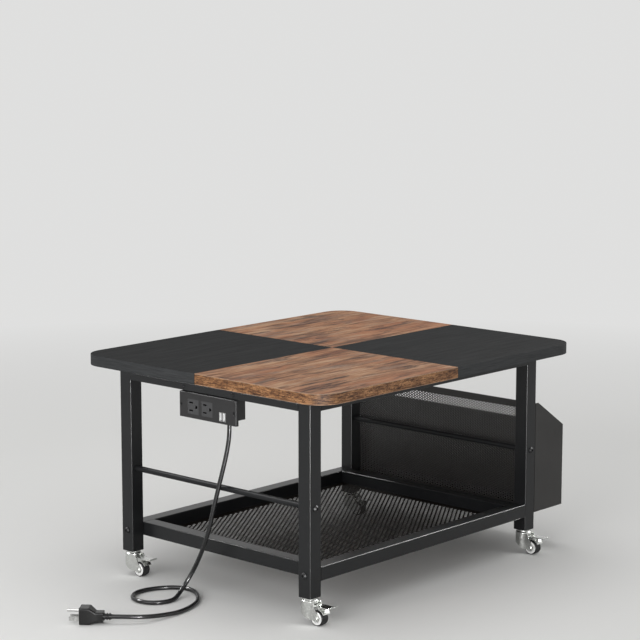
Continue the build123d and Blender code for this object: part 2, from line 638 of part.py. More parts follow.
def cord_tube():
    points = cord_points()
    radii = corner_radii(points)
    path = FilletPolyline(*points, radius=radii)
    profile = Plane(points[0], z_dir=points[1] - points[0]) * Circle(CORD_D / 2)
    tube = sweep(profile, path=path)
    section = math.pi * (CORD_D / 2) ** 2
    print("cord corner radii", [round(r, 1) for r in radii])
    print("cord length %.1f, volume %.0f, section x length %.0f"
          % (path.length, tube.volume, section * path.length))
    return tube


def cord_bush():
    """Tapered strain relief from the housing's floor to the start of the cord."""
    x, y = cord_exit()
    cone = Pos(x, y, Z_HOUSING - BUSH_L / 2) * Cone(BUSH_TIP_D / 2, BUSH_TOP_D / 2, BUSH_L)
    return cone + Pos(x, y, Z_HOUSING) * extrude(Circle(CORD_D / 2), HOUSING_WALL)


def plug_body():
    """Moulded plug: ribbed collar, narrow neck and a full front with a sloped shoulder."""
    core = ALONG_X * extrude(Circle(COLLAR_CORE_D / 2), COLLAR_L)
    rib_pitch = COLLAR_L / COLLAR_RIBS
    for i in range(COLLAR_RIBS):
        rib = ALONG_X * extrude(Circle(COLLAR_D / 2), rib_pitch / 2)
        core += Pos((i + 0.5) * rib_pitch, 0, 0) * rib
    neck = RectangleRounded(PLUG_REAR_W, PLUG_REAR_H, 3)
    full = Pos(0, PLUG_FACE_RISE) * RectangleRounded(PLUG_FACE_W, PLUG_FACE_H, 3)
    neck_start = Plane.YZ.offset(COLLAR_L)
    neck_end = Plane.YZ.offset(COLLAR_L + PLUG_NECK_L)
    shoulder = Plane.YZ.offset(COLLAR_L + PLUG_L - PLUG_FACE_L)
    body = extrude(neck_start * neck, PLUG_NECK_L) + loft([neck_end * neck, shoulder * full])
    body += extrude(shoulder * full, PLUG_FACE_L)
    return plug_place() * (core + body)


def plug_prongs():
    face = COLLAR_L + PLUG_L
    blade = Pos(face, 0, -PRONG_DROP) * ALONG_X * extrude(Rectangle(PRONG_W, PRONG_T), PRONG_L)
    pin_z = EARTH_OFFSET - PRONG_DROP
    pin = Pos(face, 0, pin_z) * ALONG_X * extrude(Circle(EARTH_PIN_D / 2), EARTH_PIN_L)
    blades = [Pos(0, s * BLADE_PITCH / 2, 0) * blade for s in (1, -1)]
    return [plug_place() * piece for piece in blades + [pin]]


def power_cord():
    nodes["cord_bush"] = cord_bush()
    nodes["power_cord"] = cord_tube()
    nodes["plug_body"] = plug_body()
    nodes["plug_prongs"] = plug_prongs()


# ------------------------------------------------------------------ casters
# A caster is drawn about its swivel axis, with the wheel ahead of it towards -Y.
FORK_IN = WHEEL_W / 2 + FORK_GAP
FORK_OUT = FORK_IN + FORK_T
WHEEL_R = WHEEL_D / 2
AXLE_Z = WHEEL_R
Z_CROWN_TOP = CASTER_H - STEM_FLANGE_T - END_PLAY
Z_CROWN = Z_CROWN_TOP - CROWN_T


def side_view(outline, width):
    """A shape drawn in the caster's side view (forward, up), centred across its width."""
    face = Plane(origin=(0, 0, 0), x_dir=(0, -1, 0), z_dir=(-1, 0, 0)) * outline
    return extrude(face, width / 2, both=True)


def caster_stem():
    """Fixed pin: thread into the leg, flange under it, kingpin and its riveted head."""
    outline = Polyline(
        (0, CASTER_H + STEM_L), (STEM_D / 2, CASTER_H + STEM_L), (STEM_D / 2, CASTER_H),
        (STEM_FLANGE_D / 2, CASTER_H), (STEM_FLANGE_D / 2, CASTER_H - STEM_FLANGE_T),
        (KINGPIN_D / 2, CASTER_H - STEM_FLANGE_T), (KINGPIN_D / 2, Z_CROWN - END_PLAY),
        (KINGPIN_HEAD_D / 2, Z_CROWN - END_PLAY),
        (KINGPIN_HEAD_D / 2, Z_CROWN - END_PLAY - KINGPIN_HEAD_T),
        (0, Z_CROWN - END_PLAY - KINGPIN_HEAD_T), close=True)
    return revolve(Plane.XZ * make_face(outline), Axis.Z)


def fork():
    """Pressed fork: round crown and back, walls that draw in to the wheel and its axle."""
    far = TRAIL + WHEEL_D
    nose = Pos(0, -(FORK_NARROWS + far) / 2) * Rectangle(2 * FORK_OUT, far - FORK_NARROWS)
    outer = make_hull(Circle(CROWN_D / 2).edges() + [nose.edges().sort_by(Axis.Y)[-1]]) + nose
    walls = extrude(outer - offset(outer, -FORK_T), Z_CROWN + CROWN_T / 2)
    half = CROWN_D / 2 + 1
    profile = Polyline((-half, Z_CROWN_TOP), (-half, Z_CROWN - 12), (-4, AXLE_Z + 4),
                       (5, AXLE_Z - 1.5), (TRAIL, AXLE_Z - EYE_R), (TRAIL + EYE_R, AXLE_Z),
                       (TRAIL + EYE_R, AXLE_Z + 3), (17.5, Z_CROWN - 3), (CROWN_D / 2, Z_CROWN_TOP),
                       close=True)
    walls &= side_view(make_face(profile) + Pos(TRAIL, AXLE_Z) * Circle(EYE_R), CROWN_D + 2)
    crown = Pos(0, 0, Z_CROWN) * extrude(Circle(CROWN_D / 2), CROWN_T)
    crown = chamfer(crown.edges().group_by(Axis.Z)[-1], CROWN_ROUND)
    body = walls + crown
    body -= Pos(0, 0, Z_CROWN) * extrude(Circle(KINGPIN_D / 2 + RUN_CLEAR), CROWN_T)
    body -= side_view(Pos(TRAIL, AXLE_Z) * Circle(AXLE_D / 2), CROWN_D)
    return body - side_view(Pos(PEDAL_PIVOT_Y, PEDAL_PIVOT_Z) * Circle(PEDAL_PIN_D / 2 + RUN_CLEAR), CROWN_D)


def axle():
    """Riveted axle: its ends are headed outside the fork."""
    pin = side_view(Pos(TRAIL, AXLE_Z) * Circle(AXLE_D / 2), 2 * FORK_OUT)
    heads = side_view(Pos(TRAIL, AXLE_Z) * Circle(AXLE_HEAD_D / 2), 2 * (FORK_OUT + AXLE_HEAD_H))
    heads -= side_view(Pos(TRAIL, AXLE_Z) * Circle(AXLE_HEAD_D / 2), 2 * FORK_OUT)
    return pin + heads


def hub():
    """Wheel centre: a rim and a web, with a boss on each side that runs on the axle."""
    rim_r = WHEEL_R - TYRE_T
    boss = FORK_IN - HUB_CLEAR
    half = WHEEL_W / 2 - HUB_RECESS
    bore = AXLE_D / 2 + RUN_CLEAR
    outline = Polyline((bore, 0), (bore, boss), (bore + HUB_BOSS, boss),
                       (bore + HUB_BOSS, HUB_WEB / 2), (rim_r - HUB_RIM, HUB_WEB / 2),
                       (rim_r - HUB_RIM, half), (rim_r, half), (rim_r, 0), close=True)
    profile = make_face(outline)
    profile += mirror(profile, Plane.XZ)
    spun = revolve(profile, Axis.Y)
    return Pos(0, -TRAIL, AXLE_Z) * Rotation(0, 0, 90) * spun


def tyre():
    ring = Circle(WHEEL_R) - Circle(WHEEL_R - TYRE_T)
    ring = side_view(Pos(TRAIL, AXLE_Z) * ring, WHEEL_W)
    shoulders = ring.edges().filter_by(GeomType.CIRCLE).filter_by(lambda e: e.radius > WHEEL_R - 0.1)
    return chamfer(shoulders, TYRE_ROUND)


def pedal():
    """Brake pedal: tread plate with a turned-up lip, ears on a pin, and a curved shoe."""
    inner_w = 2 * (FORK_IN - HUB_CLEAR)
    plate_top = PEDAL_Z + PEDAL_T
    start = PEDAL_PIVOT_Y - PEDAL_EAR_R
    inside = Polyline((start, PEDAL_Z), (PEDAL_REACH / 2, PEDAL_Z), (PEDAL_REACH / 2, plate_top),
                      (start, plate_top), close=True)
    tread = Polyline((TRAIL + EYE_R, PEDAL_Z), (PEDAL_REACH - PEDAL_T, PEDAL_Z),
                     (PEDAL_REACH, PEDAL_Z + 1), (PEDAL_REACH, plate_top + PEDAL_LIP),
                     (PEDAL_REACH - PEDAL_T, plate_top + PEDAL_LIP),
                     (PEDAL_REACH - PEDAL_T - 1, plate_top), (TRAIL + EYE_R, plate_top), close=True)
    body = side_view(make_face(inside), inner_w) + side_view(make_face(tread), PEDAL_W)
    pivot = Pos(PEDAL_PIVOT_Y, PEDAL_PIVOT_Z)
    ear = pivot * Circle(PEDAL_EAR_R) + Pos(PEDAL_PIVOT_Y, (PEDAL_PIVOT_Z + PEDAL_Z) / 2) * Rectangle(
        2 * PEDAL_EAR_R, PEDAL_Z - PEDAL_PIVOT_Z)
    body += side_view(ear, inner_w) - side_view(ear, inner_w - 2 * PEDAL_T)
    body += side_view(pivot * Circle(PEDAL_PIN_D / 2), 2 * FORK_OUT)
    # the shoe is concentric with the wheel when the pedal is down
    r0 = WHEEL_R + SHOE_CLEAR
    r1 = r0 + SHOE_T
    arms = [Vector(math.cos(math.radians(a)), math.sin(math.radians(a)))
            for a in (SHOE_FROM, (SHOE_FROM + SHOE_TO) / 2, SHOE_TO)]
    ring = ThreePointArc(*[v * r0 for v in arms]) + Line(arms[2] * r0, arms[2] * r1)
    ring += ThreePointArc(*[v * r1 for v in reversed(arms)]) + Line(arms[0] * r1, arms[0] * r0)
    locked = Pos(TRAIL, AXLE_Z) * make_face(ring)
    shoe = pivot * Rotation(0, 0, PEDAL_TRAVEL) * Pos(-PEDAL_PIVOT_Y, -PEDAL_PIVOT_Z) * locked
    body += side_view(shoe, WHEEL_W)
    top_end = shoe.faces()[0].vertices().sort_by(Axis.Y)[-1]
    rib = Polyline((top_end.X - 1, top_end.Y - 0.6), (top_end.X + 2.6, top_end.Y - 1.6),
                   (top_end.X + 2.6, PEDAL_Z + 0.2), (top_end.X - 1, PEDAL_Z + 0.2), close=True)
    return body + side_view(make_face(rib), WHEEL_W)


def casters():
    stem = caster_stem()
    pieces = {"fork": fork(), "axle": axle(), "wheel_hub": hub(), "tyre": tyre(), "brake_pedal": pedal()}
    nodes["caster_stems"] = [Pos(x, y, 0) * stem for x, y in CORNERS.values()]
    for name, (x, y) in CORNERS.items():
        for piece, shape in pieces.items():
            nodes[f"{piece}_{name}"] = Pos(x, y, 0) * shape


# ------------------------------------------------------------------ all nodes
frame()
side_bars()
tray()
tabletop()
pocket()
power_strip()
machine_screws()
power_cord()
casters()

os.makedirs("parts", exist_ok=True)
for node, shape in nodes.items():
    solids = Compound(children=list(shape)) if isinstance(shape, list) else shape
    export_step(solids, f"parts/{node}.step")
print(len(nodes), "nodes; legs from", round(X_LEFT, 2), round(Y_FRONT, 2))
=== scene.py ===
"""Finish and surroundings of a mobile printer stand.

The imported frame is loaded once. Every operator below makes one piece, or one group of
like pieces, and gives it the finish of the real material. All lengths are in metres,
except for the camera's lens and sensor.
"""

import json
import math

import bmesh
import bpy
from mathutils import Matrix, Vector

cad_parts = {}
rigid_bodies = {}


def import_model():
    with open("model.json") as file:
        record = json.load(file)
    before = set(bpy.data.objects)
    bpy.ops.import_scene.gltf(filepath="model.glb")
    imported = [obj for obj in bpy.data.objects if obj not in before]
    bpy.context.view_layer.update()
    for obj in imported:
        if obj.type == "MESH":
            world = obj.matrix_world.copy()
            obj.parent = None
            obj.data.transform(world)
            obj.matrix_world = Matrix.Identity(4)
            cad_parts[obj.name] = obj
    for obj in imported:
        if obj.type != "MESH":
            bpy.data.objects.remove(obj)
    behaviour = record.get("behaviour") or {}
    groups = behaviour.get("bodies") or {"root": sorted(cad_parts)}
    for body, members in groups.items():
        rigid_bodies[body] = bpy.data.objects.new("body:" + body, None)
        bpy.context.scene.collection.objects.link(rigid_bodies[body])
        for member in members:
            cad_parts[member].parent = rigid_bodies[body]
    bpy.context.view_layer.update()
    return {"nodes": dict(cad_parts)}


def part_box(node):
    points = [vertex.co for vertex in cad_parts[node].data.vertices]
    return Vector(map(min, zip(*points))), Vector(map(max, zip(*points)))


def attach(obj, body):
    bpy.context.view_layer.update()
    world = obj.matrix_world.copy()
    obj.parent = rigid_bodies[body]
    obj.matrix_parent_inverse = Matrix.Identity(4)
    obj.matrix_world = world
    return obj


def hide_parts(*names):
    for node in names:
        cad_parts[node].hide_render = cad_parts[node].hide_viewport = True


bl_info = {
    "name": "Mobile printer stand",
    "version": (1, 0, 0),
    "blender": (4, 5, 0),
    "location": "View3D > Sidebar > Stand",
    "description": "Builds the boards, mesh, pocket, power strip, cord and casters of a stand",
    "category": "Object",
}

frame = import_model()
NODES = frame["nodes"]
CORNERS = ("front_left", "front_right", "rear_left", "rear_right")


# ------------------------------------------------------------------ shader expressions
class Signal:
    """Output of a shader node, which can stand in a Python expression."""

    def __init__(self, finish, socket):
        self.finish = finish
        self.socket = socket

    def math(self, operation, first, second):
        return self.finish.node("ShaderNodeMath", {"operation": operation}, (first, second))

    def __add__(self, other):
        return self.math("ADD", self, other)

    def __radd__(self, other):
        return self.math("ADD", other, self)

    def __sub__(self, other):
        return self.math("SUBTRACT", self, other)

    def __rsub__(self, other):
        return self.math("SUBTRACT", other, self)

    def __mul__(self, other):
        return self.math("MULTIPLY", self, other)

    def __rmul__(self, other):
        return self.math("MULTIPLY", other, self)

    def higher(self, other):
        """The higher of two values."""
        return self.math("MAXIMUM", self, other)


class Finish:
    """The nodes of a material, or of the world when it is given one."""

    def __init__(self, name, owner=None):
        self.owner = owner or bpy.data.materials.new(name)
        self.owner.use_nodes = True
        self.tree = self.owner.node_tree
        self.tree.nodes.clear()

    def node(self, kind, settings=None, values=(), output=0):
        """Adds a node: its settings first, then the values or links of its sockets."""
        made = self.tree.nodes.new(kind)
        for key, value in (settings or {}).items():
            if key == "stops":
                set_stops(made.color_ramp, value)
            else:
                setattr(made, key, value)
        pairs = values.items() if isinstance(values, dict) else enumerate(values)
        for key, value in pairs:
            if isinstance(value, Signal):
                self.tree.links.new(value.socket, made.inputs[key])
            elif value is not None:
                made.inputs[key].default_value = value
        return Signal(self, made.outputs[output]) if made.outputs else None

    def place(self, stretch=(1, 1, 1), offset=(0, 0, 0)):
        """A point of the piece in metres, stretched and moved."""
        spot = self.node("ShaderNodeTexCoord", output="Object")
        values = {"Vector": spot, "Location": offset, "Scale": stretch}
        return self.node("ShaderNodeMapping", None, values)

    def along(self, axis):
        """How far a point of the piece lies along X, Y or Z, in metres."""
        return self.node("ShaderNodeSeparateXYZ", None, [self.place()], axis)

    def noise(self, at, scale, detail=3.0, rough=0.55, distortion=0.0):
        """Soft random values about 0.5, nearly all of them between 0.3 and 0.7."""
        values = {"Vector": at, "Scale": scale, "Detail": detail, "Roughness": rough,
                  "Distortion": distortion}
        return self.node("ShaderNodeTexNoise", None, values)

    def ramp(self, value, *stops):
        """A colour for each value, from (value, colour) pairs."""
        return self.node("ShaderNodeValToRGB", {"stops": stops}, [value])

    def scale(self, value, low, high, to_low=0.0, to_high=1.0):
        """The value from low to high, carried over to another range and held there."""
        return self.node("ShaderNodeMapRange", None, [value, low, high, to_low, to_high])

    def spread(self, noise, to_low=0.0, to_high=1.0):
        """A noise, or a mean of some, carried over from its usual range to another."""
        return self.scale(noise, 0.3, 0.7, to_low, to_high)

    def mix(self, share, first, second, blend="MIX"):
        """Two colours mixed, through the sockets that a Mix node has for colours."""
        settings = {"data_type": "RGBA", "blend_type": blend}
        return self.node("ShaderNodeMix", settings, {0: share, 6: first, 7: second}, 2)

    def bump(self, height, distance, strength):
        """Relief of a height from 0 to 1, as deep as the distance in metres."""
        values = {"Height": height, "Distance": distance, "Strength": strength}
        return self.node("ShaderNodeBump", None, values)

    def surface(self, colour, roughness, relief=None, shine=0.5, metal=0.0):
        """The shader, with constants on its own sockets."""
        sockets = {"Base Color": colour, "Roughness": roughness, "Normal": relief,
                   "Specular IOR Level": shine, "Metallic": metal}
        shader = self.node("ShaderNodeBsdfPrincipled", None, sockets)
        self.node("ShaderNodeOutputMaterial", None, {"Surface": shader})
        return self.owner


def set_stops(ramp, stops):
    """Colours of a ramp, from (place, colour) pairs."""
    while len(ramp.elements) > 1:
        ramp.elements.remove(ramp.elements[-1])
    ramp.elements[0].position, ramp.elements[0].color = stops[0]
    for place, colour in stops[1:]:
        ramp.elements.new(place).color = colour


def grey(level):
    """A grey, from 0 for black to 1 for white."""
    return (level, level, level, 1)


def shades(colour, *levels):
    """A colour at several levels of brightness."""
    return [tuple(min(1, part * level) for part in colour[:3]) + (1,) for level in levels]


# ------------------------------------------------------------------ colours of the small parts
FASTENER_BLACK = (0.009, 0.009, 0.010, 1)
SCREW_ZINC = (0.7, 0.72, 0.74, 1)
LEG_PLUG_BLACK = (0.012, 0.012, 0.012, 1)
STRIP_FACE_BLACK = (0.024, 0.0235, 0.024, 1)
STRIP_TUB_BLACK = (0.012, 0.012, 0.012, 1)
OUTLET_GREY = (0.052, 0.052, 0.054, 1)
CONTACT_BRASS = (0.62, 0.42, 0.16, 1)
SHEATH_BLACK = (0.012, 0.012, 0.013, 1)
PLUG_BLACK = (0.011, 0.011, 0.011, 1)
PRONG_NICKEL = (0.52, 0.52, 0.51, 1)
CASTER_ZINC = (0.70, 0.71, 0.69, 1)
WHEEL_WHITE = (0.84, 0.84, 0.83, 1)
TYRE_BLACK = (0.014, 0.014, 0.015, 1)


# ------------------------------------------------------------------ finishes
def powder_coat(name, colour, roughness=0.31, shine=0.28):
    """Satin powder coat on steel, with a faint orange peel and soft wear."""
    f = Finish(name)
    at = f.place()
    peel = f.noise(at, scale=900, detail=2, rough=0.5)
    cloud = f.noise(at, scale=14)
    rubbed = f.noise(f.place(stretch=(60, 60, 60)), scale=1.5, detail=5, rough=0.7)
    deep, pale, worn = shades(colour, 0.88, 1.12, 1.9)
    tint = f.mix(f.spread(cloud), deep, pale)
    tint = f.mix(f.scale(rubbed, 0.62, 0.78), tint, worn)
    rough = f.spread(peel * 0.5 + cloud * 0.5, roughness - 0.04, roughness + 0.06)
    return f.surface(tint, rough, f.bump(peel, distance=0.0002, strength=0.3), shine)


def moulded_plastic(name, colour, roughness=0.4, shine=0.4):
    """Moulded plastic or rubber with a fine even grain."""
    f = Finish(name)
    at = f.place()
    grain = f.noise(at, scale=2200, detail=2)
    cloud = f.noise(at, scale=40, detail=2)
    deep, pale = shades(colour, 0.9, 1.05)
    tint = f.mix(f.spread(cloud), deep, pale)
    rough = f.spread(grain, roughness - 0.05, roughness + 0.06)
    return f.surface(tint, rough, f.bump(grain, distance=0.0001, strength=0.25), shine)


def plated_metal(name, colour, roughness=0.25):
    """Plated steel, a little clouded, with fine marks from the press."""
    f = Finish(name)
    cloud = f.noise(f.place(), scale=260, detail=4)
    marks = f.noise(f.place(stretch=(30, 30, 900)), scale=2)
    deep, pale = shades(colour, 0.84, 1.0)
    tint = f.mix(f.spread(cloud), deep, pale)
    rough = f.scale(cloud * 0.6 + marks * 0.4, 0.35, 0.65, roughness - 0.06, roughness + 0.1)
    return f.surface(tint, rough, f.bump(marks, distance=0.0001, strength=0.3), metal=1.0)


def dark_laminate(name, colour, grain, shine):
    """Black wood-grain melamine: long shallow pores in a nearly even colour."""
    f = Finish(name)
    pores = f.noise(f.place(stretch=grain), scale=3, detail=5, rough=0.65)
    drift = f.noise(f.place(stretch=[part / 9 for part in grain]), scale=2)
    deep, pale = shades(colour, 0.75, 1.25)
    tint = f.mix(f.scale(pores * 0.7 + drift * 0.3, 0.38, 0.62), deep, pale)
    rough = f.spread(pores, 0.85, 0.7)
    return f.surface(tint, rough, f.bump(pores, distance=0.0005, strength=0.4), shine)


def rustic_laminate(name):
    """Brown reclaimed-wood print: clouded brown with burnt, reddish and greyed patches."""
    umber, chestnut = (0.090, 0.036, 0.017, 1), (0.230, 0.100, 0.046, 1)
    oak, straw = (0.380, 0.185, 0.090, 1), (0.500, 0.300, 0.175, 1)
    russet, ash = (0.40, 0.140, 0.055, 1), (0.25, 0.190, 0.150, 1)
    char = (0.038, 0.016, 0.010, 1)
    f = Finish(name)
    cloud = f.noise(f.place(stretch=(6, 22, 22)), scale=1.5, detail=4, rough=0.6,
                    distortion=0.3)
    streak = f.noise(f.place(stretch=(7, 95, 95)), scale=2, detail=5, rough=0.65,
                     distortion=0.2)
    fine = f.noise(f.place(stretch=(14, 520, 520)), scale=2, rough=0.6)
    red = f.noise(f.place(stretch=(5, 20, 20), offset=(3.1, 1.7, 0)), scale=1.6, detail=4,
                  rough=0.6, distortion=0.4)
    ashen = f.noise(f.place(stretch=(6, 32, 32), offset=(0.4, 5.3, 0)), scale=1.6, detail=4,
                    rough=0.6, distortion=0.3)
    burnt = f.noise(f.place(stretch=(7, 38, 38), offset=(8.2, 0.6, 0)), scale=1.5, detail=6,
                    rough=0.68, distortion=0.5)
    tone = f.ramp(cloud * 0.55 + streak * 0.45,
                  (0.38, umber), (0.45, chestnut), (0.52, oak), (0.61, straw))
    tone = f.mix(f.scale(red, 0.48, 0.62) * 0.5, tone, russet)
    tone = f.mix(f.scale(ashen, 0.54, 0.66) * 0.5, tone, ash)
    tone = f.mix(f.scale(burnt, 0.52, 0.65) * 0.9, tone, char)
    pores = f.mix(f.scale(fine, 0.35, 0.60), grey(0.5), grey(1.0))
    tone = f.mix(0.5, tone, pores, "MULTIPLY")
    rough = f.spread(streak, 0.72, 0.58)
    relief = f.bump(fine * 0.5 + streak * 0.5, distance=0.0004, strength=0.3)
    return f.surface(tone, rough, relief, shine=0.12)


def rustic_band(name):
    """Edge band of the brown boards: short burnt streaks, with pale lines at the arrises."""
    char, umber = (0.040, 0.016, 0.007, 1), (0.140, 0.058, 0.023, 1)
    chestnut, oak = (0.250, 0.115, 0.046, 1), (0.430, 0.215, 0.092, 1)
    soot, rubbed = (0.045, 0.020, 0.010, 1), (0.58, 0.42, 0.30, 1)
    low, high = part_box("board_front_left")
    rim_from, rim_full = high.z - 0.0016, high.z - 0.0005
    foot_from, foot_full = low.z + 0.0013, low.z + 0.0004
    f = Finish(name)
    streak = f.noise(f.place(stretch=(34, 34, 230)), scale=2, detail=5, rough=0.65,
                     distortion=0.5)
    patch = f.noise(f.place(stretch=(14, 14, 60), offset=(2, 7, 0)), scale=2, rough=0.5,
                    distortion=0.4)
    fleck = f.noise(f.place(stretch=(110, 110, 300), offset=(7, 3, 1)), scale=2.2, rough=0.6)
    tone = f.ramp(streak * 0.65 + patch * 0.35,
                  (0.37, char), (0.45, umber), (0.51, chestnut), (0.60, oak))
    tone = f.mix(f.scale(fleck, 0.52, 0.60) * 0.75, tone, soot)
    up = f.along("Z")
    rim = f.scale(up, rim_from, rim_full)
    foot = f.scale(up, foot_from, foot_full)
    tone = f.mix(rim.higher(foot) * 0.5, tone, rubbed)
    rough = f.spread(streak, 0.7, 0.58)
    return f.surface(tone, rough, f.bump(streak, distance=0.0003, strength=0.25), shine=0.2)


def socket_plastic(name, colour, front):
    """Plastic of the outlets, with painted shade: black inside the slots behind the front."""
    slot_shade_from, slot_shade_full = front + 0.0004, front + 0.0009
    f = Finish(name)
    grain = f.noise(f.place(), scale=2200, detail=2)
    # Painted shade: the slots turn black a little behind the front, where their insides lie in
    # shadow.
    inside = f.scale(f.along("X"), slot_shade_from, slot_shade_full)
    deep, pale = shades(colour, 0.92, 1.05)
    tint = f.mix(inside, f.mix(f.spread(grain), deep, pale), grey(0.002))
    rough = f.spread(grain, 0.4, 0.5)
    return f.surface(tint, rough, f.bump(grain, distance=0.0001, strength=0.25), shine=0.3)


def port_metal(name, front):
    """USB port: bright shell at the front, white tongue behind it, and painted shade that makes
    it dark at the back.
    """
    tongue_from, tongue_full = front + 0.0006, front + 0.0008
    port_shade_from, port_shade_full = front + 0.0016, front + 0.0026
    f = Finish(name)
    cloud = f.noise(f.place(), scale=900)
    into = f.along("X")
    tongue = f.scale(into, tongue_from, tongue_full)
    # Painted shade: the port turns dark at its back, where its inside lies in shadow.
    back = f.scale(into, port_shade_from, port_shade_full)
    bright = f.mix(f.spread(cloud), grey(0.72), grey(0.86))
    tint = f.mix(back, f.mix(tongue, bright, grey(0.85)), grey(0.01))
    return f.surface(tint, f.spread(cloud, 0.18, 0.3), metal=1.0 - tongue)


# ------------------------------------------------------------------ mesh helpers
TOUCHING = 0.00001           # corners this close are one corner
CELL_JOINT = 0.00002         # the same, between the copies of a repeated cell
SHARP = math.radians(35)     # edges that turn more than this are sharp
FLAT = math.radians(1)       # faces that turn less than this are one face
PARALLEL = 0.99              # share of an edge's length that lies along an axis it follows
CORE = 0.02                  # a sheet is all that is linked to the middle of it, this far out


def paint(material, *names):
    """Gives CAD nodes a finish."""
    for name in names:
        for slot in NODES[name].material_slots:
            slot.material = material


def finished(piece, materials, body, slot, *nodes):
    """Places a new piece in the model: its finish, its body and the nodes it stands for."""
    for material in materials:
        piece.data.materials.append(material)
    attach(piece, body)
    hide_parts(*nodes)
    return piece


def choose(*pieces):
    """Selects these pieces alone, the first of them active."""
    bpy.ops.object.select_all(action="DESELECT")
    for piece in pieces:
        piece.select_set(True)
    bpy.context.view_layer.objects.active = pieces[0]


def started(name, size=(1, 1, 1)):
    """Names the primitive that was just added, and puts its size and place into its mesh."""
    piece = bpy.context.object
    piece.name = name
    piece.data.name = name
    choose(piece)
    bpy.ops.transform.resize(value=size)
    bpy.ops.object.transform_apply(location=True, rotation=True, scale=True)
    return piece


def block(name, low, high):
    """A box between two corners, to be shaped further."""
    bpy.ops.object.select_all(action="DESELECT")
    low, high = Vector(low), Vector(high)
    bpy.ops.mesh.primitive_cube_add(size=1, location=(low + high) / 2)
    return started(name, high - low)


def border(name, low, high, width):
    """A flat frame between two corners, square to the axis along which they agree."""
    low, high = Vector(low), Vector(high)
    turn = (0, math.pi / 2, 0) if low.x == high.x else (0, 0, 0)
    bpy.ops.object.select_all(action="DESELECT")
    bpy.ops.mesh.primitive_plane_add(size=1, location=(low + high) / 2, rotation=turn)
    rim = started(name, [length or 1 for length in high - low])
    edit(rim)
    bpy.ops.mesh.select_all(action="SELECT")
    bpy.ops.mesh.inset(thickness=width)
    bpy.ops.mesh.delete(type="FACE")
    done()
    return rim


def edit(piece, kind="FACE"):
    """Opens a piece in edit mode, with nothing in it selected."""
    choose(piece)
    bpy.ops.object.mode_set(mode="EDIT")
    bpy.ops.mesh.select_mode(type=kind)
    bpy.ops.mesh.select_all(action="DESELECT")


def pick(piece, test, kind="FACE"):
    """Selects what passes a test on its place, and on a face's normal or an edge's run."""
    bpy.ops.mesh.select_mode(type=kind)
    bpy.ops.mesh.select_all(action="DESELECT")
    shape = bmesh.from_edit_mesh(piece.data)
    parts = {"FACE": shape.faces, "EDGE": shape.edges, "VERT": shape.verts}[kind]
    for part in parts:
        if kind == "FACE":
            wanted = test(part.calc_center_median(), part.normal)
        elif kind == "EDGE":
            start, end = [corner.co for corner in part.verts]
            wanted = test((start + end) / 2, end - start)
        else:
            wanted = test(part.co)
        if wanted:
            part.select_set(True)
    bmesh.update_edit_mesh(piece.data)


def done():
    """Leaves edit mode."""
    bpy.ops.object.mode_set(mode="OBJECT")


def modify(piece, kind, **settings):
    """Adds a modifier and applies it."""
    choose(piece)
    made = piece.modifiers.new(kind.lower(), kind)
    for key, value in settings.items():
        setattr(made, key, value)
    bpy.ops.object.modifier_apply(modifier=made.name)


def merge(piece):
    """Joins corners that lie together, and drops the slivers between them."""
    edit(piece)
    bpy.ops.mesh.select_all(action="SELECT")
    bpy.ops.mesh.remove_doubles(threshold=TOUCHING)
    bpy.ops.mesh.dissolve_degenerate(threshold=TOUCHING)
    done()


def smooth(piece):
    """Shades rounded edges smooth and keeps the flat faces flat."""
    choose(piece)
    bpy.ops.object.shade_smooth_by_angle(angle=SHARP)
    modify(piece, "WEIGHTED_NORMAL", keep_sharp=True)


def soften(piece, width, segments=2):
    """Rounds all sharp edges."""
    modify(piece, "BEVEL", width=width, segments=segments, limit_method="ANGLE",
           angle_limit=SHARP)
    merge(piece)
    smooth(piece)


def copied(node):
    """A copy of a CAD piece, merged, with whole faces in place of its triangles."""
    piece = bpy.data.objects.new(f"{node}_shell", NODES[node].data.copy())
    bpy.context.scene.collection.objects.link(piece)
    piece.data.name = piece.name
    piece.data.materials.clear()
    merge(piece)
    edit(piece)
    bpy.ops.mesh.select_all(action="SELECT")
    bpy.ops.mesh.dissolve_limited(angle_limit=FLAT)
    done()
    return piece


def dressed(node, width, material, body, slot, segments=2):
    """The CAD piece with its sharp edges rounded."""
    piece = copied(node)
    soften(piece, width, segments)
    return finished(piece, [material], body, slot, node)


def rolled_tube(node, radius, material):
    """The CAD tube with its long outer corners rounded, as rolled tube has them."""
    low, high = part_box(node)
    along = max(range(3), key=lambda axis: high[axis] - low[axis])
    across = [axis for axis in range(3) if axis != along]

    def long_corner(at, run):
        is_long = abs(run[along]) > PARALLEL * run.length
        return is_long and all(min(at[axis] - low[axis], high[axis] - at[axis]) < TOUCHING
                               for axis in across)

    piece = copied(node)
    edit(piece)
    pick(piece, long_corner, "EDGE")
    bpy.ops.mesh.bevel(offset=radius, segments=3, affect="EDGES", clamp_overlap=False)
    done()
    smooth(piece)
    return finished(piece, [material], "stand", "frame_black", node)


def repeat(piece, step, count):
    """Copies a piece's mesh along a row."""
    modify(piece, "ARRAY", use_relative_offset=False, use_constant_offset=True,
           constant_offset_displace=step, count=count)


def crop(piece, low, high, axes):
    """Cuts off what lies past two corners, along the named axes, and drops the loose crumbs."""
    edit(piece)
    for axis in axes:
        for place, side in ((low, -1), (high, 1)):
            outwards = Vector((0, 0, 0))
            outwards[axis] = side
            bpy.ops.mesh.select_all(action="SELECT")
            bpy.ops.mesh.bisect(plane_co=place, plane_no=outwards, clear_outer=True)
    middle = (low + high) / 2
    pick(piece, lambda at: all(abs(at[axis] - middle[axis]) < CORE for axis in axes), "VERT")
    bpy.ops.mesh.select_linked()
    bpy.ops.mesh.select_all(action="INVERT")
    bpy.ops.mesh.delete(type="VERT")
    done()


def joined(name, *pieces):
    """Makes several pieces one."""
    choose(*pieces)
    bpy.ops.object.join()
    pieces[0].name = name
    return pieces[0]


